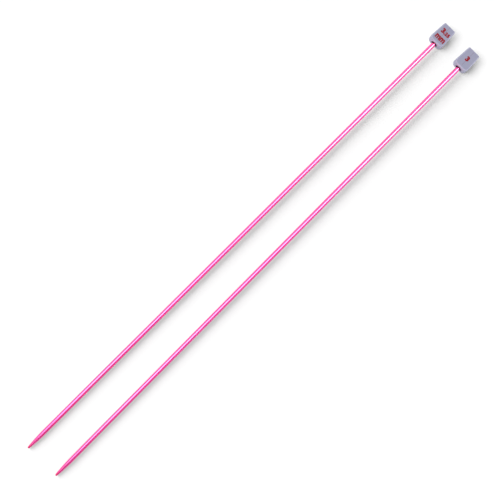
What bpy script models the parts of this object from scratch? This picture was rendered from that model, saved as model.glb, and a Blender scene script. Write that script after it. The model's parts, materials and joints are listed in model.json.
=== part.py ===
"""A pair of straight knitting needles: an anodised aluminium rod with a moulded head, twice.

Units are metres and +Z is up. +X runs from the points to the heads, along the middle of the pair.
The origin is on the ground, at the middle of the pair's bounding box. Needle A lies at +Y and
needle B at -Y, and both rest on the ground on the flat of the head and on the end of the point.

Each needle is modelled along its own axis: the point's end is at x = 0, and the head's end at
x = OVERALL_LENGTH. An empty then lays the needle down, nose low, at its place in the pair.
"""

from math import acos, atan, cos, degrees, pi, radians, sin, sqrt, tan

import bmesh
import bpy
from mathutils import Vector

# The rod: gauge 3.25 mm, 40 cm long over the head.
OVERALL_LENGTH = 0.400
SHAFT_RADIUS = 0.003250 / 2
POINT_LENGTH = 0.0160
POINT_END_RADIUS = 0.00075
POINT_STEPS = 9
NOSE_STEPS = 3
SHAFT_FACETS = 24

# The rod's tail, which the head grips.
TAIL_COVER = 0.0026
TAIL_CHAMFER = 0.0004
GROOVE_DEPTH = 0.00030
GROOVE_WIDTH = 0.00100
GROOVE_DISTANCES_FROM_TAIL = (0.0054, 0.0028)

# The moulded head. Its broad faces are the top and bottom ones.
HEAD_LENGTH = 0.0139
SHOULDER_WIDTH = 0.0110
END_WIDTH = 0.0095
HEAD_THICKNESS = 0.0080
PLAN_CORNER_RADIUS = 0.00300
FACE_CORNER_RADIUS = 0.00125
LONG_EDGE_RADIUS = 0.00110
END_EDGE_RADIUS = 0.00035
CORNER_STEPS = 4
SHOULDER_STEPS = 7
END_STEPS = 2

# The stepped blind bore in the head.
RELIEF_RADIUS = 0.00220
RELIEF_DEPTH = 0.0030
BORE_CLEARANCE = 0.00005
RIB_CLEARANCE = 0.00010
BORE_END_GAP = 0.0003
CUTTER_OVERRUN = 0.0020

# How the pair lies: distance between the two axes at the points' ends and at the heads' ends.
SPACING_AT_POINTS = 0.0263
SPACING_AT_HEADS = 0.0229

SHAFT_LENGTH = OVERALL_LENGTH - TAIL_COVER
MOUTH_X = OVERALL_LENGTH - HEAD_LENGTH
FLAT_START_X = MOUTH_X + FACE_CORNER_RADIUS
HALF_THICKNESS = HEAD_THICKNESS / 2

# The head is thicker than the rod, so a needle lies nose low. Its broad faces carry the same angle
# as draft, which sets the lower one flat on the ground.
PITCH = atan((HALF_THICKNESS - SHAFT_RADIUS) / (FLAT_START_X - POINT_LENGTH))
TOE_IN = atan((SPACING_AT_POINTS - SPACING_AT_HEADS) / 2 / OVERALL_LENGTH)
AXIS_HEIGHT_AT_POINT = HALF_THICKNESS * cos(PITCH) - FLAT_START_X * sin(PITCH)

SHARP_EDGE_ANGLE = radians(40)


def clear_scene():
    """Remove every object that the file opened with."""
    for old_object in list(bpy.data.objects):
        bpy.data.objects.remove(old_object, do_unlink=True)


def make_material(name, colour, roughness, metallic):
    """A plain Principled material."""
    material = bpy.data.materials.new(name)
    material.use_nodes = True
    shader = material.node_tree.nodes["Principled BSDF"]
    shader.inputs["Base Color"].default_value = (*colour, 1.0)
    shader.inputs["Roughness"].default_value = roughness
    shader.inputs["Metallic"].default_value = metallic
    material.diffuse_color = (*colour, 1.0)
    return material


def make_object(name, mesh_builder, material, parent):
    """Turn a bmesh into a named, smooth-shaded object on its parent."""
    mesh = bpy.data.meshes.new(name)
    mesh_builder.normal_update()
    mesh_builder.to_mesh(mesh)
    mesh_builder.free()
    mesh.shade_smooth()
    mesh.set_sharp_from_angle(angle=SHARP_EDGE_ANGLE)
    if material is not None:
        mesh.materials.append(material)
    new_object = bpy.data.objects.new(name, mesh)
    new_object.parent = parent
    bpy.context.collection.objects.link(new_object)
    return new_object


def loft(sections):
    """Skin a run of closed sections of equal point count, and cap both ends."""
    shape = bmesh.new()
    rings = [[shape.verts.new(point) for point in section] for section in sections]
    for ring, following in zip(rings, rings[1:]):
        count = len(ring)
        for index in range(count):
            after = (index + 1) % count
            shape.faces.new((ring[index], ring[after], following[after], following[index]))
    shape.faces.new(reversed(rings[0]))
    shape.faces.new(rings[-1])
    bmesh.ops.recalc_face_normals(shape, faces=shape.faces)
    return shape


def turned(profile):
    """A solid of revolution about the X axis, from (x, radius) pairs."""
    sections = []
    for x, radius in profile:
        angles = [2 * pi * index / SHAFT_FACETS for index in range(SHAFT_FACETS)]
        sections.append([Vector((x, radius * cos(angle), radius * sin(angle))) for angle in angles])
    return loft(sections)


def point_profile():
    """The round nose and the ogive tangent to it and to the rod, as (x, radius) pairs."""
    rise = SHAFT_RADIUS - POINT_END_RADIUS
    run = POINT_LENGTH - POINT_END_RADIUS
    ogive_radius = (run ** 2 + SHAFT_RADIUS ** 2 - POINT_END_RADIUS ** 2) / (2 * rise)
    nose_turn = acos(run / (ogive_radius - POINT_END_RADIUS))
    nose_end = POINT_END_RADIUS * (1 - cos(nose_turn))
    profile = []
    for step in range(1, NOSE_STEPS + 1):
        angle = nose_turn * step / (NOSE_STEPS + 1)
        profile.append((POINT_END_RADIUS * (1 - cos(angle)), POINT_END_RADIUS * sin(angle)))
    for step in range(POINT_STEPS + 1):
        x = nose_end + (POINT_LENGTH - nose_end) * step / POINT_STEPS
        drop = ogive_radius - sqrt(ogive_radius ** 2 - (POINT_LENGTH - x) ** 2)
        profile.append((x, SHAFT_RADIUS - drop))
    return profile


def shaft_profile():
    """The whole rod, from the point's end to its tail, as (x, radius) pairs."""
    profile = point_profile()
    for distance in GROOVE_DISTANCES_FROM_TAIL:
        start = SHAFT_LENGTH - distance
        profile.append((start, SHAFT_RADIUS))
        profile.append((start, SHAFT_RADIUS - GROOVE_DEPTH))
        profile.append((start + GROOVE_WIDTH, SHAFT_RADIUS - GROOVE_DEPTH))
        profile.append((start + GROOVE_WIDTH, SHAFT_RADIUS))
    profile.append((SHAFT_LENGTH - TAIL_CHAMFER, SHAFT_RADIUS))
    profile.append((SHAFT_LENGTH, SHAFT_RADIUS - TAIL_CHAMFER))
    return profile


def bore_profile():
    """The stepped blind bore, with a rib for each groove of the rod, as (x, radius) pairs."""
    bore_radius = SHAFT_RADIUS + BORE_CLEARANCE
    rib_radius = SHAFT_RADIUS - GROOVE_DEPTH + RIB_CLEARANCE
    profile = [(MOUTH_X - CUTTER_OVERRUN, RELIEF_RADIUS)]
    profile.append((MOUTH_X + RELIEF_DEPTH, RELIEF_RADIUS))
    profile.append((MOUTH_X + RELIEF_DEPTH, bore_radius))
    for distance in GROOVE_DISTANCES_FROM_TAIL:
        start = SHAFT_LENGTH - distance + RIB_CLEARANCE
        end = SHAFT_LENGTH - distance + GROOVE_WIDTH - RIB_CLEARANCE
        profile.append((start, bore_radius))
        profile.append((start, rib_radius))
        profile.append((end, rib_radius))
        profile.append((end, bore_radius))
    profile.append((SHAFT_LENGTH + BORE_END_GAP, bore_radius))
    return profile


def quarter_round(distance, radius):
    """How far a rounded end still falls short of full size, at a distance from its tangent plane."""
    if distance >= radius:
        return 0.0
    return radius - sqrt(radius ** 2 - (radius - distance) ** 2)


def head_half_sizes(x):
    """The head's half width and half thickness at x."""
    from_mouth = x - MOUTH_X
    from_end = OVERALL_LENGTH - x
    taper = (SHOULDER_WIDTH - END_WIDTH) / 2 / (HEAD_LENGTH - PLAN_CORNER_RADIUS)
    past_shoulder = max(0.0, from_mouth - PLAN_CORNER_RADIUS)
    end_round = quarter_round(from_end, END_EDGE_RADIUS)
    half_width = SHOULDER_WIDTH / 2 - taper * past_shoulder
    half_width -= quarter_round(from_mouth, PLAN_CORNER_RADIUS) + end_round
    half_height = HALF_THICKNESS + (x - FLAT_START_X) * tan(PITCH)
    half_height -= quarter_round(from_mouth, FACE_CORNER_RADIUS) + end_round
    return half_width, half_height


def rounded_rectangle(x, half_width, half_height):
    """A closed section across the head at x, with round corners."""
    section = []
    for corner in range(4):
        side_y = 1 if corner in (0, 3) else -1
        side_z = 1 if corner in (0, 1) else -1
        centre_y = side_y * (half_width - LONG_EDGE_RADIUS)
        centre_z = side_z * (half_height - LONG_EDGE_RADIUS)
        for step in range(CORNER_STEPS + 1):
            angle = pi / 2 * (corner + step / CORNER_STEPS)
            y = centre_y + LONG_EDGE_RADIUS * cos(angle)
            z = centre_z + LONG_EDGE_RADIUS * sin(angle)
            section.append(Vector((x, y, z)))
    return section


def head_stations():
    """The places along the head where its outline needs a section."""
    stations = []
    for step in range(SHOULDER_STEPS):
        angle = pi / 2 * step / SHOULDER_STEPS
        stations.append(MOUTH_X + PLAN_CORNER_RADIUS * (1 - cos(angle)))
    stations.append(MOUTH_X + PLAN_CORNER_RADIUS)
    stations.append(FLAT_START_X)
    for step in range(END_STEPS + 1):
        angle = pi / 2 * step / END_STEPS
        stations.append(OVERALL_LENGTH - END_EDGE_RADIUS * (1 - sin(angle)))
    return sorted(stations)


def lay_down(name, side):
    """The empty that carries one needle: side is +1 for needle A and -1 for needle B."""
    rest = bpy.data.objects.new(name, None)
    half_run = OVERALL_LENGTH / 2 * cos(PITCH) * cos(TOE_IN)
    rest.location = (-half_run, side * SPACING_AT_POINTS / 2, AXIS_HEIGHT_AT_POINT)
    rest.rotation_euler = (0.0, -PITCH, -side * TOE_IN)
    bpy.context.collection.objects.link(rest)
    return rest


def make_shaft(name, material, rest):
    """The anodised rod: point, plain length and grooved tail."""
    return make_object(name, turned(shaft_profile()), material, rest)


def make_head(name, material, rest):
    """The moulded head, bored for the rod."""
    sections = [rounded_rectangle(x, *head_half_sizes(x)) for x in head_stations()]
    head = make_object(name, loft(sections), material, rest)
    cutter = make_object(name + "_bore_cutter", turned(bore_profile()), None, rest)
    cutter.hide_render = True
    cutter.display_type = "WIRE"
    bore = head.modifiers.new("bore", "BOOLEAN")
    bore.operation = "DIFFERENCE"
    bore.solver = "EXACT"
    bore.object = cutter
    return head


def make_needle(letter, side, rod_material, head_material):
    """One whole needle on its empty."""
    rest = lay_down(f"needle_{letter}_rest", side)
    make_shaft(f"needle_{letter}_shaft", rod_material, rest)
    make_head(f"needle_{letter}_head", head_material, rest)


def main():
    clear_scene()
    anodised_pink = make_material("anodised_pink", (0.88, 0.17, 0.46), 0.28, 1.0)
    lilac_plastic = make_material("lilac_plastic", (0.40, 0.40, 0.51), 0.42, 0.0)
    make_needle("a", 1, anodised_pink, lilac_plastic)
    make_needle("b", -1, anodised_pink, lilac_plastic)
    print(f"pitch {degrees(PITCH):.4f} deg, toe-in {degrees(TOE_IN):.4f} deg")


main()
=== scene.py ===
"""Looks of a pair of straight knitting needles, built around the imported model.

Units are metres. Every piece is modelled in its needle's own frame, x from the point's end to the
head's end, y level and z up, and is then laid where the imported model's needle lies.
"""

import json
from math import acos, asin, atan2, cos, pi, radians, sin, sqrt, tan

import bmesh
import bpy
from mathutils import Matrix, Vector

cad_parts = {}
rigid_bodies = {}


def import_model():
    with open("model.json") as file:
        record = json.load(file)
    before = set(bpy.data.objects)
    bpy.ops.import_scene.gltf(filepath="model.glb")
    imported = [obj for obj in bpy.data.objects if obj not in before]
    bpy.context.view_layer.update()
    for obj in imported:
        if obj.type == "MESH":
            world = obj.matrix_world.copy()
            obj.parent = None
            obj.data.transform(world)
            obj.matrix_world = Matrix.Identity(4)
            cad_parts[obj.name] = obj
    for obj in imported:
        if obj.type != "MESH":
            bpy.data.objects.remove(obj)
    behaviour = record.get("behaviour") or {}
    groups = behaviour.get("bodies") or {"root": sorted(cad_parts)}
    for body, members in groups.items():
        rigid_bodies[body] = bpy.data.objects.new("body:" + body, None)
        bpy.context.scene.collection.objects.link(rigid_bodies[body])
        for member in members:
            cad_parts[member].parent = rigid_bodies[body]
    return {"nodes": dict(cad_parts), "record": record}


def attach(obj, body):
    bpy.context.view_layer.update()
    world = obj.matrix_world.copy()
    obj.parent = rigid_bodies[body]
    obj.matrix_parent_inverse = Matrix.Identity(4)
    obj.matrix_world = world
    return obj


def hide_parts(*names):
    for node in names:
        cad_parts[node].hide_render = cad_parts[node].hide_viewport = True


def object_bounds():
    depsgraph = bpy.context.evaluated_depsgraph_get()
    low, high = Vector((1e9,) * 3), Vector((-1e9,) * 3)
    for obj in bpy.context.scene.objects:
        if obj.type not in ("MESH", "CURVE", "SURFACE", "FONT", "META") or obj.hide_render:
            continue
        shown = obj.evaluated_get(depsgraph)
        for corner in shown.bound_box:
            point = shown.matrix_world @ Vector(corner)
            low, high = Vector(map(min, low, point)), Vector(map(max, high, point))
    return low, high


MM = 0.001

SMOOTH_ANGLE = radians(30)

# The rod.
POINT_LENGTH = 16.0 * MM
POINT_END_RADIUS = 0.75 * MM
NOSE_STEPS = 8
POINT_STEPS = 28
ROD_RING_SPACING = 6.0 * MM
ROD_SIDES = 72
TAIL_CHAMFER = 0.40 * MM
GROOVE_DEPTH = 0.30 * MM
GROOVE_WIDTH = 1.00 * MM
GROOVE_DISTANCES_FROM_TAIL = (5.4 * MM, 2.8 * MM)

# The head's outside.
PLAN_CORNER_RADIUS = 3.00 * MM
FACE_CORNER_RADIUS = 1.25 * MM
LONG_EDGE_RADIUS = 1.10 * MM
END_EDGE_RADIUS = 0.35 * MM
CORNER_STEPS = 10
HALF_WIDE_STEPS = 7
NARROW_STEPS = 10
SHOULDER_STEPS = 18
FLANK_STEPS = 20
END_STEPS = 6
FRONT_STEPS = 4
CAP_STEPS = 8
SINK_DEPTH = 0.030 * MM
PARTING_LINE_HEIGHT = 0.010 * MM
PARTING_LINE_HALF_WIDTH = 0.09 * MM
GATE_RADIUS = 0.85 * MM
GATE_DEPTH = 0.15 * MM
GATE_STUB_RADIUS = 0.40 * MM
GATE_STUB_HEIGHT = 0.08 * MM

# The head's stepped blind bore.
RELIEF_RADIUS = 2.20 * MM
RELIEF_DEPTH = 3.0 * MM
RELIEF_LIP_RADIUS = 0.15 * MM
LIP_STEPS = 4
LEAD_IN = 0.30 * MM
BORE_CLEARANCE = 0.05 * MM
RIB_CLEARANCE = 0.10 * MM
BORE_END_GAP = 0.30 * MM

# The printed size marks. Each run of a mark is its text, how far its strokes are fattened as a share
# of the font's size, its height and width, and where its middle is as the reader sees the face: to
# the right of the face's middle, and short of the head's far end.
LETTER_RESOLUTION = 6
PRINT_THICKNESS = 0.018 * MM
PRINT_SINK = 0.004 * MM
WELD_DISTANCE = 0.0002 * MM
METRIC_MARK = (
    ("3", 0.062, 3.60 * MM, 2.40 * MM, -1.75 * MM, 4.7 * MM),
    (".", 0.000, 1.05 * MM, 0.95 * MM, -0.15 * MM, 6.0 * MM),
    ("2", 0.080, 2.65 * MM, 1.74 * MM, 1.26 * MM, 5.2 * MM),
    ("5", 0.080, 2.65 * MM, 1.74 * MM, 3.07 * MM, 5.2 * MM),
    ("mm", 0.050, 3.00 * MM, 7.70 * MM, 0.30 * MM, 10.1 * MM),
)
GAUGE_MARK = (("3", 0.062, 3.60 * MM, 2.50 * MM, 0.0, 6.8 * MM),)

# The camera, over the middle of the pair but for a small offset in its own frame.
CAMERA_HEIGHT = 0.4707
CAMERA_CLIP_START = 0.01
CAMERA_LENS_MM = 50.0
CAMERA_TURN = radians(-45.1)
CAMERA_OFFSET = Vector((-0.53 * MM, 1.44 * MM, 0.0))

# The floor, and its own two lights: name, turns about X and Y away from straight down, angular size
# and energy.
FLOOR_SIZE = 6.0
FLOOR_DIVISIONS = 8
FLOOR_GAP = 0.02 * MM
FLOOR_GLOW = 0.10
ROD_SHADING_KEY = ("floor_key_rods", (radians(-53.5), 0.0), radians(49), 29.2)
HEAD_SHADING_KEY = ("floor_key_heads", (radians(-29), radians(-25)), radians(40), 18.4)

# The boxes that the rods mirror: name, place, turns about X and Z, length, width and radiance. The
# two strips hang overhead and face straight down. The two boxes beside the pair lean towards it.
SOFTBOX_TINT = (1.0, 1.0, 0.55)
STRIP_TURN = radians(-30)
SOFTBOXES = (
    ("strip_over_points", (-0.16, 0.14, 0.60), (0.0, STRIP_TURN), 0.70, 0.25, 9.8),
    ("strip_over_heads", (0.38, -0.17, 0.60), (0.0, STRIP_TURN), 0.54, 0.25, 20.0),
    ("box_beside_a", (0.0, 0.90, 0.50), (radians(-60.945), 0.0), 2.6, 0.9, 1.0),
    ("box_beside_b", (0.62, -0.70, 0.45), (radians(57.265), radians(35)), 0.9, 0.8, 0.7),
)

# The tent: its radiance at the horizon, half way up and overhead, and the share of it that the dim
# corner loses. The ranges are of the part of a direction that goes along the needles, across them or
# upwards.
TENT_HORIZON = 1.00
TENT_SIDES = 0.77
TENT_OVERHEAD = 0.88
TENT_CORNER_LOSS = 0.60
LOWER_TENT_HEIGHTS = (0.0, 0.35)
UPPER_TENT_HEIGHTS = (0.5, 1.0)
CORNER_ALONG = (-0.50, -0.10)
CORNER_ACROSS = (-0.70, -0.20)
CORNER_HEIGHTS = (0.15, 0.40)


def clear_scene():
    """Remove every object that the file opened with."""
    for old_object in list(bpy.data.objects):
        bpy.data.objects.remove(old_object, do_unlink=True)


class Needle:
    """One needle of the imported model: its frame, and its sizes in that frame."""

    def __init__(self, letter):
        self.letter = letter
        self.body = f"needle_{letter}"
        self.shaft_node = f"needle_{letter}_shaft"
        self.head_node = f"needle_{letter}_head"
        mounts = {mount["name"]: mount for mount in frame["record"]["mounts"]}
        head_end = mounts[f"head_{letter}_end"]
        along = Vector(head_end["axis"]).normalized()
        across = Vector((0.0, 0.0, 1.0)).cross(along).normalized()
        self.place = Matrix((along, across, along.cross(across))).transposed().to_4x4()
        # The origin starts at the head's far end and then moves back to the point's end.
        self.place.translation = Vector(head_end["pos_m"])
        self.place.translation += along * self.local_box(self.shaft_node)[0].x
        shaft_high = self.local_box(self.shaft_node)[1]
        head_low, head_high = self.local_box(self.head_node)
        self.shaft_end = shaft_high.x
        self.shaft_radius = shaft_high.z
        self.mouth = head_low.x
        self.far_end = head_high.x
        self.half_width = head_high.y
        self.draft = asin(along.z)
        self.flat_start = self.mouth + FACE_CORNER_RADIUS
        flat_end = self.far_end - END_EDGE_RADIUS
        self.half_thickness = head_high.z - (flat_end - self.flat_start) * tan(self.draft)
        self.end_half_width = self.measure_end_half_width()

    def local_points(self, node):
        """A CAD node's points in this needle's frame."""
        back = self.place.inverted()
        return [back @ vertex.co for vertex in frame["nodes"][node].data.vertices]

    def local_box(self, node):
        """Lowest and highest corner of a CAD node in this needle's frame."""
        points = self.local_points(node)
        lowest = Vector(min(point[axis] for point in points) for axis in range(3))
        highest = Vector(max(point[axis] for point in points) for axis in range(3))
        return lowest, highest

    def measure_end_half_width(self):
        """The head's half width just before its far end rounds off."""
        near_end = self.far_end - 2.0 * END_EDGE_RADIUS
        return max(point.y for point in self.local_points(self.head_node) if point.x > near_end)


# ---------------------------------------------------------------- mesh helpers


def skin(rings):
    """A closed bmesh over a run of closed rings of equal point count."""
    shape = bmesh.new()
    made = [[shape.verts.new(point) for point in ring] for ring in rings]
    for ring, following in zip(made, made[1:]):
        count = len(ring)
        for index in range(count):
            after = (index + 1) % count
            shape.faces.new((ring[index], ring[after], following[after], following[index]))
    shape.faces.new(reversed(made[0]))
    shape.faces.new(made[-1])
    bmesh.ops.recalc_face_normals(shape, faces=shape.faces)
    return shape


def place_piece(name, shape, needle, material):
    """Turn a bmesh in the needle's frame into a finished piece that rides with the needle."""
    mesh = bpy.data.meshes.new(name)
    shape.to_mesh(mesh)
    shape.free()
    mesh.shade_smooth()
    mesh.set_sharp_from_angle(angle=SMOOTH_ANGLE)
    mesh.materials.append(material)
    piece = bpy.data.objects.new(name, mesh)
    bpy.context.scene.collection.objects.link(piece)
    piece.matrix_world = needle.place
    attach(piece, needle.body)
    return piece


# ---------------------------------------------------------------- the rod


def circle_ring(x, radius, angles):
    """A ring about the needle's axis."""
    return [Vector((x, radius * cos(angle), radius * sin(angle))) for angle in angles]


def point_profile(full_radius):
    """The round nose and the ogive tangent to it and to the rod, as (x, radius) pairs."""
    rise = full_radius - POINT_END_RADIUS
    run = POINT_LENGTH - POINT_END_RADIUS
    ogive_radius = (run ** 2 + full_radius ** 2 - POINT_END_RADIUS ** 2) / (2.0 * rise)
    nose_turn = acos(run / (ogive_radius - POINT_END_RADIUS))
    nose_end = POINT_END_RADIUS * (1.0 - cos(nose_turn))
    profile = []
    for step in range(1, NOSE_STEPS + 1):
        angle = nose_turn * step / (NOSE_STEPS + 1)
        profile.append((POINT_END_RADIUS * (1.0 - cos(angle)), POINT_END_RADIUS * sin(angle)))
    for step in range(POINT_STEPS + 1):
        x = nose_end + (POINT_LENGTH - nose_end) * step / POINT_STEPS
        drop = ogive_radius - sqrt(ogive_radius ** 2 - (POINT_LENGTH - x) ** 2)
        profile.append((x, full_radius - drop))
    return profile


def tail_profile(needle):
    """The ring grooves and the chamfer that the head hides, as (x, radius) pairs."""
    radius = needle.shaft_radius
    profile = []
    for distance in GROOVE_DISTANCES_FROM_TAIL:
        start = needle.shaft_end - distance
        profile.append((start, radius))
        profile.append((start, radius - GROOVE_DEPTH))
        profile.append((start + GROOVE_WIDTH, radius - GROOVE_DEPTH))
        profile.append((start + GROOVE_WIDTH, radius))
    profile.append((needle.shaft_end - TAIL_CHAMFER, radius))
    profile.append((needle.shaft_end, radius - TAIL_CHAMFER))
    return profile


def rod_profile(needle):
    """The whole rod, as (x, radius) pairs."""
    profile = point_profile(needle.shaft_radius)
    tail = tail_profile(needle)
    plain_length = tail[0][0] - POINT_LENGTH
    count = int(plain_length / ROD_RING_SPACING)
    for step in range(1, count):
        profile.append((POINT_LENGTH + plain_length * step / count, needle.shaft_radius))
    return profile + tail


def make_shaft(needle, material):
    """The anodised rod, in place of its CAD node."""
    angles = [2.0 * pi * side / ROD_SIDES for side in range(ROD_SIDES)]
    rings = [circle_ring(x, radius, angles) for x, radius in rod_profile(needle)]
    shaft = place_piece(f"needle_{needle.letter}_rod", skin(rings), needle, material)
    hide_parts(needle.shaft_node)
    return shaft


# ---------------------------------------------------------------- the head


def short_of_full(distance, radius):
    """How far a rounded end is still short of full size, at a distance from its tangent plane."""
    if distance >= radius:
        return 0.0
    return radius - sqrt(radius ** 2 - (radius - distance) ** 2)


def head_half_sizes(needle, x):
    """The head's half width and half thickness at x."""
    from_mouth = x - needle.mouth
    from_end = needle.far_end - x
    shoulder = needle.mouth + PLAN_CORNER_RADIUS
    taper = (needle.half_width - needle.end_half_width) / (needle.far_end - shoulder)
    end_round = short_of_full(from_end, END_EDGE_RADIUS)
    half_width = needle.half_width - taper * max(0.0, x - shoulder)
    half_width -= short_of_full(from_mouth, PLAN_CORNER_RADIUS) + end_round
    half_height = needle.half_thickness + (x - needle.flat_start) * tan(needle.draft)
    half_height -= short_of_full(from_mouth, FACE_CORNER_RADIUS) + end_round
    return half_width, half_height


def section_outline(half_width, half_height):
    """A rounded rectangle as (y, z) pairs, anticlockwise from the +Y side's upper end."""
    wide_reach = half_width - LONG_EDGE_RADIUS
    narrow_reach = half_height - LONG_EDGE_RADIUS
    outline = []
    for corner in range(4):
        side_y = 1.0 if corner in (0, 3) else -1.0
        side_z = 1.0 if corner in (0, 1) else -1.0
        for step in range(CORNER_STEPS + 1):
            angle = pi / 2 * (corner + step / CORNER_STEPS)
            y = side_y * wide_reach + LONG_EDGE_RADIUS * cos(angle)
            z = side_z * narrow_reach + LONG_EDGE_RADIUS * sin(angle)
            outline.append((y, z))
        if corner in (0, 2):
            outline += [(side_y * run, side_z * half_height) for run in wide_runs(wide_reach)]
        else:
            runs = [narrow_reach * (1.0 - 2.0 * step / NARROW_STEPS) for step in range(1, NARROW_STEPS)]
            outline += [(side_y * half_width, side_z * run) for run in runs]
    return outline


def wide_runs(reach):
    """Places across a broad face, from +reach to -reach, close together at the parting line."""
    half = [PARTING_LINE_HALF_WIDTH]
    for step in range(1, HALF_WIDE_STEPS):
        half.append(PARTING_LINE_HALF_WIDTH + (reach - PARTING_LINE_HALF_WIDTH) * step / HALF_WIDE_STEPS)
    return list(reversed(half)) + [0.0] + [-run for run in half]


def face_sink(needle, x, y, half_width):
    """How far a broad face sinks below flat, as a thick moulding's faces do."""
    along = (x - needle.flat_start) / (needle.far_end - needle.flat_start)
    if not 0.0 < along < 1.0:
        return 0.0
    across = min(1.0, abs(y) / (half_width - LONG_EDGE_RADIUS))
    return SINK_DEPTH * (1.0 - across ** 2) * (1.0 - (2.0 * along - 1.0) ** 2)


def parting_line(y):
    """How far the mould's parting line stands proud, at y across the head."""
    return PARTING_LINE_HEIGHT * max(0.0, 1.0 - abs(y) / PARTING_LINE_HALF_WIDTH)


def head_ring(needle, x):
    """The head's outline at x, as points."""
    half_width, half_height = head_half_sizes(needle, x)
    ring = []
    for y, z in section_outline(half_width, half_height):
        proud = parting_line(y)
        if abs(y) < half_width - LONG_EDGE_RADIUS:
            proud -= face_sink(needle, x, y, half_width)
        ring.append(Vector((x, y, z + (proud if z > 0.0 else -proud))))
    return ring


def head_stations(needle):
    """The places along the head where its outline gets a ring, from the mouth to the far end."""
    stations = set()
    for step in range(SHOULDER_STEPS + 1):
        angle = pi / 2 * step / SHOULDER_STEPS
        stations.add(needle.mouth + PLAN_CORNER_RADIUS * (1.0 - cos(angle)))
    stations.add(needle.flat_start)
    shoulder = needle.mouth + PLAN_CORNER_RADIUS
    flank = needle.far_end - END_EDGE_RADIUS - shoulder
    for step in range(1, FLANK_STEPS):
        stations.add(shoulder + flank * step / FLANK_STEPS)
    for step in range(END_STEPS + 1):
        angle = pi / 2 * step / END_STEPS
        stations.add(needle.far_end - END_EDGE_RADIUS * (1.0 - sin(angle)))
    return sorted(stations)


def bore_profile(needle):
    """The relief and the ribbed blind bore from the mouth inwards, as (x, radius) pairs."""
    bore_radius = needle.shaft_radius + BORE_CLEARANCE
    rib_radius = needle.shaft_radius - GROOVE_DEPTH + RIB_CLEARANCE
    profile = []
    for step in range(LIP_STEPS + 1):
        angle = pi / 2 * step / LIP_STEPS
        x = needle.mouth + RELIEF_LIP_RADIUS * (1.0 - cos(angle))
        profile.append((x, RELIEF_RADIUS + RELIEF_LIP_RADIUS * (1.0 - sin(angle))))
    floor_of_relief = needle.mouth + RELIEF_DEPTH
    profile.append((floor_of_relief, RELIEF_RADIUS))
    profile.append((floor_of_relief, bore_radius + LEAD_IN))
    profile.append((floor_of_relief + LEAD_IN, bore_radius))
    for distance in GROOVE_DISTANCES_FROM_TAIL:
        start = needle.shaft_end - distance + RIB_CLEARANCE
        end = needle.shaft_end - distance + GROOVE_WIDTH - RIB_CLEARANCE
        profile.append((start, bore_radius))
        profile.append((start, rib_radius))
        profile.append((end, rib_radius))
        profile.append((end, bore_radius))
    profile.append((needle.shaft_end + BORE_END_GAP, bore_radius))
    return profile


def blend_rings(first, last, steps):
    """Rings between two rings of equal count, the two themselves left out."""
    rings = []
    for step in range(1, steps):
        share = step / steps
        rings.append([start.lerp(end, share) for start, end in zip(first, last)])
    return rings


def end_cap_rings(needle, rim, angles):
    """The flat far end, down to the round gate mark in its middle."""
    x = needle.far_end
    gate_rim = circle_ring(x, GATE_RADIUS, angles)
    rings = blend_rings(rim, gate_rim, CAP_STEPS)
    for ring in rings:
        for point in ring:
            point.x += parting_line(point.y)
    rings.append(gate_rim)
    rings.append(circle_ring(x - GATE_DEPTH, GATE_RADIUS - GATE_DEPTH, angles))
    rings.append(circle_ring(x - GATE_DEPTH, GATE_STUB_RADIUS, angles))
    stub_top = x - GATE_DEPTH + GATE_STUB_HEIGHT
    rings.append(circle_ring(stub_top, GATE_STUB_RADIUS - GATE_STUB_HEIGHT / 2, angles))
    return rings


def make_head(needle, material):
    """The moulded head as one closed skin, from its blind bore out over the mouth to the far end."""
    outside = [head_ring(needle, x) for x in head_stations(needle)]
    angles = [atan2(point.z, point.y) for point in outside[0]]
    bore = [circle_ring(x, radius, angles) for x, radius in bore_profile(needle)]
    rings = list(reversed(bore))
    rings += blend_rings(bore[0], outside[0], FRONT_STEPS)
    rings += outside
    rings += end_cap_rings(needle, outside[-1], angles)
    name = f"needle_{needle.letter}_moulded_head"
    head = place_piece(name, skin(rings), needle, material)
    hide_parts(needle.head_node)
    return head


# ---------------------------------------------------------------- the printed size marks


def text_outline(text, weight, height, width):
    """A flat text as a bmesh in the XY plane, centred, with the given height and width."""
    curve = bpy.data.curves.new("mark", "FONT")
    curve.body = text
    curve.offset = weight
    curve.resolution_u = LETTER_RESOLUTION
    carrier = bpy.data.objects.new("mark", curve)
    bpy.context.scene.collection.objects.link(carrier)
    bpy.context.view_layer.update()
    mesh = bpy.data.meshes.new_from_object(carrier.evaluated_get(bpy.context.evaluated_depsgraph_get()))
    bpy.data.objects.remove(carrier)
    bpy.data.curves.remove(curve)
    shape = bmesh.new()
    shape.from_mesh(mesh)
    bpy.data.meshes.remove(mesh)
    lows = [min(vertex.co[axis] for vertex in shape.verts) for axis in range(2)]
    highs = [max(vertex.co[axis] for vertex in shape.verts) for axis in range(2)]
    middle = Vector(((lows[0] + highs[0]) / 2, (lows[1] + highs[1]) / 2, 0.0))
    bmesh.ops.translate(shape, verts=shape.verts, vec=-middle)
    stretch = (width / (highs[0] - lows[0]), height / (highs[1] - lows[1]), 1.0)
    bmesh.ops.scale(shape, verts=shape.verts, vec=stretch)
    return shape


def thicken(shape):
    """Give a flat outline the print's thickness, as closed solids."""
    bmesh.ops.remove_doubles(shape, verts=shape.verts, dist=WELD_DISTANCE)
    lower = bmesh.ops.extrude_face_region(shape, geom=list(shape.faces), use_keep_orig=True)
    raised = [item for item in lower["geom"] if isinstance(item, bmesh.types.BMVert)]
    bmesh.ops.translate(shape, verts=raised, vec=(0.0, 0.0, PRINT_THICKNESS))
    bmesh.ops.recalc_face_normals(shape, faces=shape.faces)
    return shape


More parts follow.
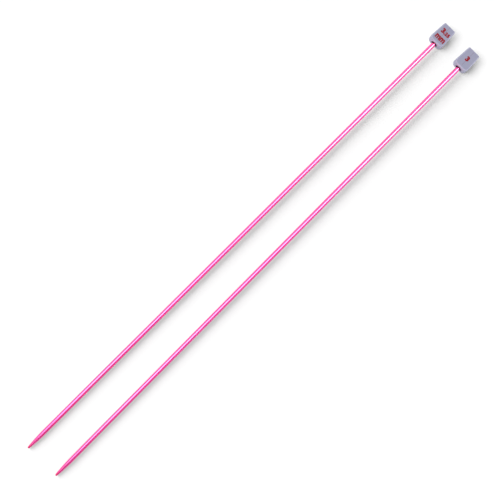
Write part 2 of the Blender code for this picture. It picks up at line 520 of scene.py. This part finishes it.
def lay_on_face(shape, needle, side, right, from_end):
    """Bend a thickened text onto a broad face. side is +1 for the top face, -1 for the other."""
    for vertex in shape.verts:
        text_x, text_y, raised = vertex.co
        x = needle.far_end - from_end + text_y
        y = -side * (right + text_x)
        half_width, half_height = head_half_sizes(needle, x)
        surface = half_height - face_sink(needle, x, y, half_width)
        vertex.co = (x, y, side * (surface - PRINT_SINK + raised))


def make_mark(needle, side, lines, name, material):
    """One face's print, from its (text, weight, height, width, right, from_end) runs."""
    whole = bmesh.new()
    for text, weight, height, width, right, from_end in lines:
        run = thicken(text_outline(text, weight, height, width))
        lay_on_face(run, needle, side, right, from_end)
        carrier = bpy.data.meshes.new("run")
        run.to_mesh(carrier)
        run.free()
        whole.from_mesh(carrier)
        bpy.data.meshes.remove(carrier)
    return place_piece(name, whole, needle, material)


# ---------------------------------------------------------------- materials


# The rod's dye, the painted shade before the head's mouth, and the turning marks on the point. A
# wave texture repeats after WAVE_TEXTURE_PERIOD where its scale is 1.
PINK = (0.91, 0.080, 0.36, 1.0)
PALE_PINK = (0.93, 0.095, 0.39, 1.0)
DEEP_PINK = (0.80, 0.045, 0.21, 1.0)
# Painted shade: the rod's colour just before the head's mouth, darkened where the head's lip shades it.
SHADED_PINK = (0.36, 0.030, 0.13, 1.0)
DEEP_PINK_REACH = 6.0 * MM
ROD_SHADE_START = 1.35 * MM
ROD_SHADE_FULL = 0.45 * MM
WAVE_TEXTURE_PERIOD = 2.0 * pi / 20.0
TURNING_PITCH = 0.2762 * MM
TURNING_WAVER = 0.6
TURNING_FADE = 2.0 * MM
ROD_RELIEF = 0.003 * MM

# The heads' plastic, its scratches, its painted edge sheen, and the painted shade in and below the mouth.
LILAC = (0.416, 0.420, 0.576, 1.0)
PALE_LILAC = (0.440, 0.436, 0.594, 1.0)
# Painted sheen: the colour that the rounded borders of the broad faces are paled towards.
SHEEN_LILAC = (0.570, 0.570, 0.740, 1.0)
SCRATCH_LILAC = (0.620, 0.620, 0.780, 1.0)
LINE_LILAC = (0.300, 0.240, 0.360, 1.0)
# Painted shade: the colour that the relief and the low front round the mouth are darkened towards.
SHADED_LILAC = (0.130, 0.125, 0.180, 1.0)
LINE_CORE = 0.06 * MM
LINE_REACH = 0.22 * MM
LINE_SHARE = 0.85
LINE_START = 0.8 * MM
LINE_FULL = 2.5 * MM
BORE_SHADE_CORE = 2.35 * MM
BORE_SHADE_REACH = 2.75 * MM
LOW_SHADE_FULL = 0.8 * MM
LOW_SHADE_TOP = 2.0 * MM
SHADE_FADE = 1.0 * MM
HEAD_GRAIN = 0.025 * MM

# The ink, and the grain that shows through it.
RED_INK = (0.38, 0.002, 0.008, 1.0)
THIN_INK = (0.38, 0.030, 0.050, 1.0)
INK_GRAIN = 0.006 * MM
GRAIN_SIZES = (0.16 * MM, 0.16 * MM, 0.16 * MM)

# The floor is dark paper: its own strong lights lift it to white, and the tent hardly fills its
# shadows.
DARK_PAPER = (0.085, 0.085, 0.085, 1.0)
DARK_PAPER_FIBRE = (0.086, 0.086, 0.086, 1.0)
WHITE = (1.0, 1.0, 1.0, 1.0)


def add(tree, kind, inputs, **properties):
    """Add a node: each input is a value, or a socket to link from."""
    node = tree.nodes.new(kind)
    for name, value in properties.items():
        setattr(node, name, value)
    for name, value in inputs.items():
        if isinstance(value, bpy.types.NodeSocket):
            tree.links.new(value, node.inputs[name])
        else:
            node.inputs[name].default_value = value
    return node


def calculate(tree, operation, *values):
    """A Math node's result."""
    return add(tree, "ShaderNodeMath", dict(enumerate(values)), operation=operation).outputs[0]


def split(tree, vector):
    """A vector's X, Y and Z."""
    return add(tree, "ShaderNodeSeparateXYZ", {"Vector": vector}).outputs


def add_bump(tree, shader, strength, depth, height):
    """Give a shader a relief of the given depth."""
    bump = add(tree, "ShaderNodeBump", {"Strength": strength, "Distance": depth, "Height": height})
    tree.links.new(bump.outputs[0], shader.inputs["Normal"])


def start_material(name):
    """An empty Principled material: its tree, its shader and its object coordinates."""
    material = bpy.data.materials.new(name)
    material.use_nodes = True
    tree = material.node_tree
    shader = tree.nodes["Principled BSDF"]
    coordinates = tree.nodes.new("ShaderNodeTexCoord").outputs["Object"]
    return material, tree, shader, coordinates


def stretched_noise(tree, coordinates, sizes, detail):
    """Noise whose features have the given sizes along x, y and z."""
    scale = tuple(1.0 / size for size in sizes)
    mapping = add(tree, "ShaderNodeMapping", {"Vector": coordinates, "Scale": scale})
    noise = add(tree, "ShaderNodeTexNoise", {"Vector": mapping.outputs[0], "Scale": 1.0, "Detail": detail})
    return noise.outputs["Fac"]


def remap(tree, value, low, high, to_low, to_high, smooth=False):
    """Map a value's range to another, clamped at both ends."""
    kind = "SMOOTHSTEP" if smooth else "LINEAR"
    inputs = {"Value": value, "From Min": low, "From Max": high, "To Min": to_low, "To Max": to_high}
    return add(tree, "ShaderNodeMapRange", inputs, interpolation_type=kind).outputs["Result"]


def mix_colours(tree, share, first, second):
    """The first colour, turned into the second by share. A Mix node's colour sockets share their
    names with its other sockets, so they go by number."""
    return add(tree, "ShaderNodeMix", {0: share, 6: first, 7: second}, data_type="RGBA").outputs[2]


def rod_colour(tree, coordinates, along, mouth):
    """Dyed pink, a little uneven, deeper towards the tip, with painted shade next to the head's mouth."""
    unevenness = stretched_noise(tree, coordinates, (40.0 * MM, 5.0 * MM, 5.0 * MM), 2.0)
    colour = mix_colours(tree, remap(tree, unevenness, 0.3, 0.7, 0.0, 1.0), PINK, PALE_PINK)
    at_tip = remap(tree, along, 0.0, DEEP_PINK_REACH, 1.0, 0.0, smooth=True)
    colour = mix_colours(tree, at_tip, colour, DEEP_PINK)
    # Painted shade over the last stretch of rod before the mouth.
    shade_by_mouth = remap(tree, along, mouth - ROD_SHADE_START, mouth - ROD_SHADE_FULL, 0.0, 1.0, smooth=True)
    return mix_colours(tree, shade_by_mouth, colour, SHADED_PINK)


def turning_marks(tree, coordinates, along):
    """The fine rings that turning leaves on the point. They fade out before the plain length."""
    scale = WAVE_TEXTURE_PERIOD / TURNING_PITCH
    inputs = {"Vector": coordinates, "Scale": scale, "Distortion": TURNING_WAVER}
    rings = add(tree, "ShaderNodeTexWave", inputs, bands_direction="X").outputs["Fac"]
    on_point = remap(tree, along, POINT_LENGTH - TURNING_FADE, POINT_LENGTH, 1.0, 0.0)
    return calculate(tree, "MULTIPLY", rings, on_point)


def anodised_pink(mouth):
    """Drawn aluminium rod, dyed pink and anodised: fine draw lines, scuffs, a turned point, and
    painted shade where the rod enters the head's mouth."""
    material, tree, shader, coordinates = start_material("anodised_pink")
    along = split(tree, coordinates)["X"]
    tree.links.new(rod_colour(tree, coordinates, along, mouth), shader.inputs["Base Color"])
    shader.inputs["Metallic"].default_value = 1.0
    draw_lines = stretched_noise(tree, coordinates, (25.0 * MM, 0.10 * MM, 0.10 * MM), 4.0)
    scuffs = stretched_noise(tree, coordinates, (0.9 * MM, 2.2 * MM, 2.2 * MM), 5.0)
    drawn = remap(tree, draw_lines, 0.25, 0.75, 0.15, 0.21)
    rubbed = remap(tree, scuffs, 0.58, 0.72, 0.0, 0.08)
    tree.links.new(calculate(tree, "ADD", drawn, rubbed), shader.inputs["Roughness"])
    relief = calculate(tree, "ADD", draw_lines, turning_marks(tree, coordinates, along))
    add_bump(tree, shader, 0.25, ROD_RELIEF, relief)
    shader.inputs["Coat Weight"].default_value = 0.25
    shader.inputs["Coat Roughness"].default_value = 0.12
    return material


def edge_sheen(tree):
    """How far a spot is on a broad face's rounded border, which is painted paler as a sheen of the bright
    surroundings.
    """
    facing = tree.nodes.new("ShaderNodeTexCoord").outputs["Normal"]
    upright = calculate(tree, "ABSOLUTE", split(tree, facing)["Z"])
    off_face = remap(tree, upright, 0.85, 0.995, 1.0, 0.0, smooth=True)
    off_side = remap(tree, upright, 0.05, 0.55, 0.0, 1.0, smooth=True)
    return calculate(tree, "MULTIPLY", off_face, off_side)


def on_parting_line(tree, place, mouth):
    """How far a spot is on the stained line down the middle of the head. It starts behind the
    rounded front."""
    from_middle = calculate(tree, "ABSOLUTE", place["Y"])
    on_line = remap(tree, from_middle, LINE_CORE, LINE_REACH, LINE_SHARE, 0.0, smooth=True)
    behind_front = remap(tree, place["X"], mouth + LINE_START, mouth + LINE_FULL, 0.0, 1.0, smooth=True)
    return calculate(tree, "MULTIPLY", on_line, behind_front)


def mouth_shade(tree, coordinates, place, mouth):
    """How far a spot is in the painted shade: in the relief round the rod, or on the front just round
    it, on all but the upper part of both."""
    off_axis = {0: coordinates, 1: (0.0, 1.0, 1.0)}
    crosswise = add(tree, "ShaderNodeVectorMath", off_axis, operation="MULTIPLY").outputs[0]
    radius = add(tree, "ShaderNodeVectorMath", {0: crosswise}, operation="LENGTH").outputs["Value"]
    by_bore = remap(tree, radius, BORE_SHADE_CORE, BORE_SHADE_REACH, 1.0, 0.0, smooth=True)
    low = remap(tree, place["Z"], LOW_SHADE_FULL, LOW_SHADE_TOP, 1.0, 0.0, smooth=True)
    relief_floor = mouth + RELIEF_DEPTH
    at_front = remap(tree, place["X"], relief_floor, relief_floor + SHADE_FADE, 1.0, 0.0)
    return calculate(tree, "MULTIPLY", by_bore, calculate(tree, "MULTIPLY", low, at_front))


def lilac_plastic(mouth):
    """Grey-lilac moulded plastic: spark-eroded grain, faint flow marks, a painted sheen on the rounded
    edges, fine scratches, a stained parting line, and painted shade round the mouth."""
    material, tree, shader, coordinates = start_material("lilac_plastic")
    place = split(tree, coordinates)
    flow = stretched_noise(tree, coordinates, (6.0 * MM, 2.5 * MM, 2.5 * MM), 3.0)
    scratches = stretched_noise(tree, coordinates, (2.5 * MM, 0.07 * MM, 0.07 * MM), 2.0)
    scratched = remap(tree, scratches, 0.66, 0.72, 0.0, 0.5)
    colour = mix_colours(tree, remap(tree, flow, 0.3, 0.7, 0.0, 1.0), LILAC, PALE_LILAC)
    # Painted sheen on the rounded borders of the broad faces.
    colour = mix_colours(tree, edge_sheen(tree), colour, SHEEN_LILAC)
    colour = mix_colours(tree, on_parting_line(tree, place, mouth), colour, LINE_LILAC)
    colour = mix_colours(tree, scratched, colour, SCRATCH_LILAC)
    # Painted shade in the relief round the rod and low on the front round it.
    colour = mix_colours(tree, mouth_shade(tree, coordinates, place, mouth), colour, SHADED_LILAC)
    tree.links.new(colour, shader.inputs["Base Color"])
    cloud = stretched_noise(tree, coordinates, (3.0 * MM, 3.0 * MM, 3.0 * MM), 2.0)
    tree.links.new(remap(tree, cloud, 0.3, 0.7, 0.42, 0.52), shader.inputs["Roughness"])
    add_bump(tree, shader, 0.5, HEAD_GRAIN, stretched_noise(tree, coordinates, GRAIN_SIZES, 4.0))
    return material


def size_print():
    """Red pad-printed ink, a little thin where the grain shows through."""
    material, tree, shader, coordinates = start_material("size_print")
    cover = stretched_noise(tree, coordinates, (0.5 * MM, 0.5 * MM, 0.5 * MM), 4.0)
    thin = remap(tree, cover, 0.55, 0.80, 0.0, 0.6)
    tree.links.new(mix_colours(tree, thin, RED_INK, THIN_INK), shader.inputs["Base Color"])
    tree.links.new(remap(tree, cover, 0.2, 0.8, 0.50, 0.70), shader.inputs["Roughness"])
    shader.inputs["Specular IOR Level"].default_value = 0.25
    add_bump(tree, shader, 0.30, INK_GRAIN, stretched_noise(tree, coordinates, GRAIN_SIZES, 4.0))
    return material


def pale_floor():
    """Matt paper on a light table, which the floor's own lights lift the rest of the way to white."""
    material, tree, shader, coordinates = start_material("pale_floor")
    fibre = stretched_noise(tree, coordinates, (0.6 * MM, 0.6 * MM, 0.6 * MM), 3.0)
    shade = mix_colours(tree, fibre, DARK_PAPER, DARK_PAPER_FIBRE)
    tree.links.new(shade, shader.inputs["Base Color"])
    shader.inputs["Roughness"].default_value = 1.0
    shader.inputs["Specular IOR Level"].default_value = 0.0
    shader.inputs["Emission Color"].default_value = WHITE
    shader.inputs["Emission Strength"].default_value = FLOOR_GLOW
    return material


# ---------------------------------------------------------------- the set


def make_floor():
    """The surface that the needles lie on."""
    shape = bmesh.new()
    divisions = {"x_segments": FLOOR_DIVISIONS, "y_segments": FLOOR_DIVISIONS}
    bmesh.ops.create_grid(shape, size=FLOOR_SIZE / 2, **divisions)
    mesh = bpy.data.meshes.new("floor")
    shape.to_mesh(mesh)
    shape.free()
    mesh.materials.append(pale_floor())
    floor = bpy.data.objects.new("floor", mesh)
    floor.location.z = cad_box[0].z - FLOOR_GAP
    bpy.context.scene.collection.objects.link(floor)
    return floor


def make_camera():
    """Straight above the pair, turned so that the needles rise to the upper right."""
    data = bpy.data.cameras.new("camera")
    data.lens = CAMERA_LENS_MM
    data.clip_start = CAMERA_CLIP_START
    camera = bpy.data.objects.new("camera", data)
    camera.rotation_euler.z = CAMERA_TURN
    offset = CAMERA_OFFSET.copy()
    offset.rotate(camera.rotation_euler)
    middle = (cad_box[0] + cad_box[1]) / 2
    camera.location = Vector((middle.x, middle.y, CAMERA_HEIGHT)) + offset
    bpy.context.scene.collection.objects.link(camera)
    bpy.context.scene.camera = camera


def make_light(name, kind, place, turn, energy):
    """A light that the camera doesn't see."""
    data = bpy.data.lights.new(name, kind)
    data.energy = energy
    light = bpy.data.objects.new(name, data)
    light.location = place
    light.rotation_euler = turn
    light.visible_camera = False
    bpy.context.scene.collection.objects.link(light)
    return light


def group(name, members):
    """A collection for linking lights to objects."""
    collection = bpy.data.collections.new(name)
    for member in members:
        collection.objects.link(member)
    return collection


def light_floor(floor, rods, heads):
    """Two soft keys from needle A's side that only the floor gets. The rods alone shade one of
    them and the heads alone the other, so each kind of shadow has a length and softness of its own."""
    only_floor = group("only_floor", [floor])
    for key, shading in ((ROD_SHADING_KEY, rods), (HEAD_SHADING_KEY, heads)):
        name, turn, spread, energy = key
        sun = make_light(name, "SUN", (0.0, 0.0, 1.0), (*turn, 0.0), energy)
        sun.data.angle = spread
        sun.visible_glossy = False
        sun.light_linking.receiver_collection = only_floor
        sun.light_linking.blocker_collection = group(f"{name}_shaded_by", shading)


def hang_softboxes(rods):
    """The boxes that the rods mirror, which make a white line down each rod and a bright flank."""
    only_rods = group("only_rods", rods)
    for name, place, (lean, turn), length, width, radiance in SOFTBOXES:
        power = radiance * pi * length * width
        softbox = make_light(name, "AREA", place, (lean, 0.0, turn), power)
        softbox.data.shape = "RECTANGLE"
        softbox.data.size = length
        softbox.data.size_y = width
        softbox.data.color = SOFTBOX_TINT
        softbox.visible_diffuse = False
        softbox.light_linking.receiver_collection = only_rods


def make_surroundings():
    """A pale tent, a little darker half way up than at the horizon and overhead, with one dim
    corner beyond the points, on needle B's side."""
    world = bpy.data.worlds.new("tent")
    world.use_nodes = True
    tree = world.node_tree
    background = tree.nodes["Background"]
    direction = tree.nodes.new("ShaderNodeTexCoord").outputs["Generated"]
    along, across, height = split(tree, direction)
    lower = remap(tree, height, *LOWER_TENT_HEIGHTS, TENT_HORIZON, TENT_SIDES, smooth=True)
    upper = remap(tree, height, *UPPER_TENT_HEIGHTS, 0.0, TENT_OVERHEAD - TENT_SIDES, smooth=True)
    even = calculate(tree, "ADD", lower, upper)
    past_points = remap(tree, along, *CORNER_ALONG, 1.0, 0.0, smooth=True)
    beside_b = remap(tree, across, *CORNER_ACROSS, 1.0, 0.0, smooth=True)
    raised = remap(tree, height, *CORNER_HEIGHTS, 0.0, 1.0, smooth=True)
    in_corner = calculate(tree, "MULTIPLY", calculate(tree, "MULTIPLY", past_points, beside_b), raised)
    kept = remap(tree, in_corner, 0.0, 1.0, 1.0, 1.0 - TENT_CORNER_LOSS)
    tree.links.new(calculate(tree, "MULTIPLY", even, kept), background.inputs["Strength"])
    background.inputs["Color"].default_value = WHITE
    bpy.context.scene.world = world


clear_scene()
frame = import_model()
cad_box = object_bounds()

needles = [Needle("a"), Needle("b")]
rod_finish = anodised_pink(needles[0].mouth)
head_finish = lilac_plastic(needles[0].mouth)
print_finish = size_print()
rods = [make_shaft(needle, rod_finish) for needle in needles]
heads = [make_head(needle, head_finish) for needle in needles]

# Each head has one mark on top and the other on its underside.
for needle, top_mark, under_mark in zip(needles, (METRIC_MARK, GAUGE_MARK), (GAUGE_MARK, METRIC_MARK)):
    make_mark(needle, 1.0, top_mark, f"needle_{needle.letter}_top_size_mark", print_finish)
    make_mark(needle, -1.0, under_mark, f"needle_{needle.letter}_under_size_mark", print_finish)

light_floor(make_floor(), rods, heads)
hang_softboxes(rods)
make_surroundings()
make_camera()
bpy.context.scene.view_settings.view_transform = "Standard"
